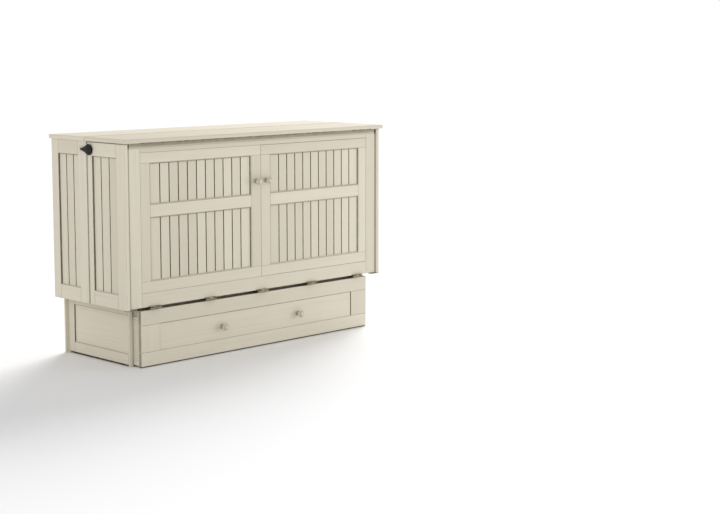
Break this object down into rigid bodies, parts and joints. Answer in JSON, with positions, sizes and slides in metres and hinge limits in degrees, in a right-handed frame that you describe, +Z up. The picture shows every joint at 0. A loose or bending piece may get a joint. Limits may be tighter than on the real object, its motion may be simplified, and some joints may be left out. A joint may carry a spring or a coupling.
{
  "type": "cabinet bed",
  "caption": "Closed cabinet bed: panelled chest with beadboard false doors, split top, fold-down bed front, swinging half sides with latches and a storage drawer on a narrower base.",
  "frame": {"origin": "middle of the footprint on the floor", "axes": "+X along the front to the right as seen from the front, +Y from the front to the back, +Z up"},
  "size_m": [1.6708, 0.609, 1.057],
  "materials": {
    "cream_paint": "satin",
    "plain_wood": "matte",
    "hinge_steel": "satin",
    "dark_iron": "satin"
  },
  "bodies": {
    "carcass": {"base_side_frame_left": "cream_paint", "base_side_frame_right": "cream_paint", "base_side_panel_left": "cream_paint", "base_side_panel_right": "cream_paint", "drawer_runner_left": "plain_wood", "drawer_runner_right": "plain_wood", "base_back": "cream_paint", "base_front_rail": "cream_paint", "base_deck": "plain_wood", "rear_side_frame_left": "cream_paint", "rear_side_frame_right": "cream_paint", "rear_side_board_left": "cream_paint", "rear_side_board_right": "cream_paint", "latch_keeper_left": "dark_iron", "latch_keeper_right": "dark_iron", "rear_top": "cream_paint", "back_frame": "cream_paint", "back_panel": "plain_wood", "rear_top_batten": "plain_wood", "fold_hinge_straps": "hinge_steel"},
    "drawer": {"drawer_front_frame": "cream_paint", "drawer_front_panel": "cream_paint", "drawer_back": "plain_wood", "drawer_bottom": "plain_wood", "drawer_side_left": "plain_wood", "drawer_side_right": "plain_wood", "drawer_knob_left": "cream_paint", "drawer_knob_right": "cream_paint"},
    "front": {"front_frame": "cream_paint", "door_frame_left": "cream_paint", "door_frame_right": "cream_paint", "door_board_left": "cream_paint", "door_board_right": "cream_paint", "door_knob_left": "cream_paint", "door_knob_right": "cream_paint", "front_deck": "plain_wood", "fold_hinge_leaves": "hinge_steel", "side_pivot_top_left": "hinge_steel", "side_pivot_top_right": "hinge_steel", "side_pivot_low_left": "hinge_steel", "side_pivot_low_right": "hinge_steel", "lid_hinge_lower": "hinge_steel", "foot_hinge_front_leaves": "hinge_steel"},
    "side_panel_left": {"side_frame_left": "cream_paint", "side_board_left": "cream_paint", "latch_base_left": "dark_iron"},
    "side_panel_right": {"side_frame_right": "cream_paint", "side_board_right": "cream_paint", "latch_base_right": "dark_iron"},
    "latch_left": {"latch_lever_left": "dark_iron"},
    "latch_right": {"latch_lever_right": "dark_iron"},
    "lid": {"lid_board": "cream_paint", "lid_hinge_upper": "hinge_steel"},
    "foot_section": {"foot_deck": "plain_wood", "foot_deck_cleats": "plain_wood", "foot_hinge_deck_leaves": "hinge_steel", "foot_leg_brackets": "hinge_steel"},
    "foot_legs": {"foot_leg_frame": "plain_wood"}
  },
  "joints": [
    {"name": "drawer_slide", "type": "slide", "parent": "carcass", "child": "drawer", "axis": [0, -1, 0], "range_m": [0, 0.4]},
    {"name": "bed_fold", "type": "hinge", "parent": "carcass", "child": "front", "pos_m": [0, -0.2755, 0.275], "axis": [1, 0, 0], "range_deg": [0, 90]},
    {"name": "lid_lift", "type": "hinge", "parent": "front", "child": "lid", "pos_m": [0, -0.2895, 1.0374], "axis": [1, 0, 0], "range_deg": [0, 90]},
    {"name": "foot_unfold", "type": "hinge", "parent": "front", "child": "foot_section", "pos_m": [0, -0.23525, 1.031], "axis": [1, 0, 0], "range_deg": [0, 180]},
    {"name": "leg_unfold", "type": "hinge", "parent": "foot_section", "child": "foot_legs", "pos_m": [0, -0.197, 0.426], "axis": [-1, 0, 0], "range_deg": [0, 90]},
    {"name": "side_swing_left", "type": "hinge", "parent": "front", "child": "side_panel_left", "pos_m": [-0.8085, -0.2675, 0.278], "axis": [0, 0, 1], "range_deg": [0, 180]},
    {"name": "side_swing_right", "type": "hinge", "parent": "front", "child": "side_panel_right", "pos_m": [0.8085, -0.2675, 0.278], "axis": [0, 0, -1], "range_deg": [0, 180]},
    {"name": "latch_turn_left", "type": "hinge", "parent": "side_panel_left", "child": "latch_left", "pos_m": [-0.8224, -0.01, 0.999], "axis": [-1, 0, 0], "range_deg": [0, 90]},
    {"name": "latch_turn_right", "type": "hinge", "parent": "side_panel_right", "child": "latch_right", "pos_m": [0.8224, -0.01, 0.999], "axis": [-1, 0, 0], "range_deg": [0, 90]}
  ],
  "couplings": [
    {"joint": "lid_lift", "follows": "bed_fold", "ratio": 1},
    {"joint": "foot_unfold", "follows": "bed_fold", "ratio": 2},
    {"joint": "leg_unfold", "follows": "bed_fold", "ratio": 1}
  ]
}
